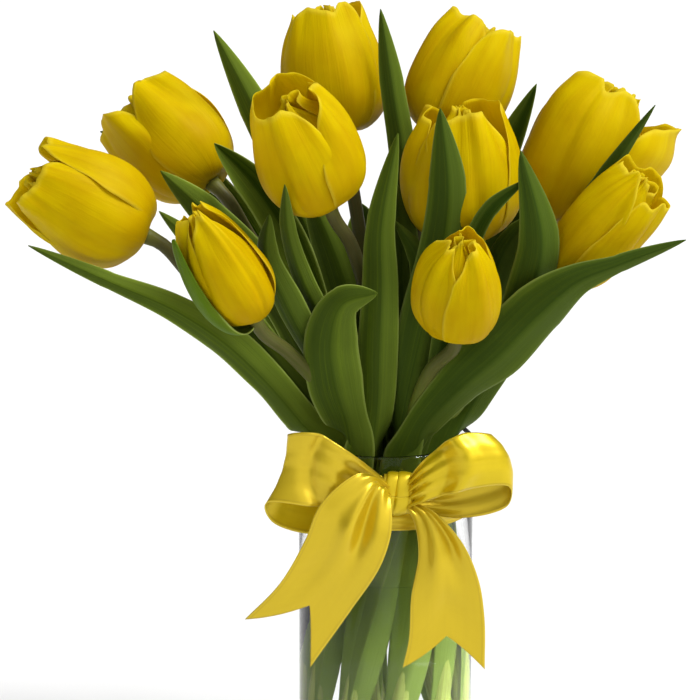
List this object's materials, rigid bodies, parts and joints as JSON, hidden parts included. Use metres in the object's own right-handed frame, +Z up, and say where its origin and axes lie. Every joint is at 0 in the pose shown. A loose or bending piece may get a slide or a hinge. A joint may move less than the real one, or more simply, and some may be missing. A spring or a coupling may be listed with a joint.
{
  "type": "bunch of tulips",
  "caption": "Bunch of yellow tulips with their leaves in a clear glass cylinder vase of water, with a yellow satin ribbon tied round the vase in a bow.",
  "frame": {"origin": "centre of the vase's underside, where it rests on a table", "axes": "+Z up along the vase's axis, -Y towards the side with the bow, +X to the right seen from that side"},
  "size_m": [0.3333, 0.182, 0.4188],
  "materials": {
    "glass": "clear polished glass",
    "water": "clear still water",
    "satin": "glossy yellow satin with a fine woven edge",
    "leaf": "satin waxy green leaf and stem",
    "petal": "soft silky yellow petal"
  },
  "bodies": {
    "root": {"vase": "glass", "water": "water", "ribbon": "satin", "stem_1": "leaf", "bloom_1": "petal", "stem_2": "leaf", "bloom_2": "petal", "stem_3": "leaf", "bloom_3": "petal", "stem_4": "leaf", "bloom_4": "petal", "stem_5": "leaf", "bloom_5": "petal", "stem_6": "leaf", "bloom_6": "petal", "stem_7": "leaf", "bloom_7": "petal", "stem_8": "leaf", "bloom_8": "petal", "stem_9": "leaf", "bloom_9": "petal", "stem_10": "leaf", "bloom_10": "petal"}
  },
  "joints": []
}
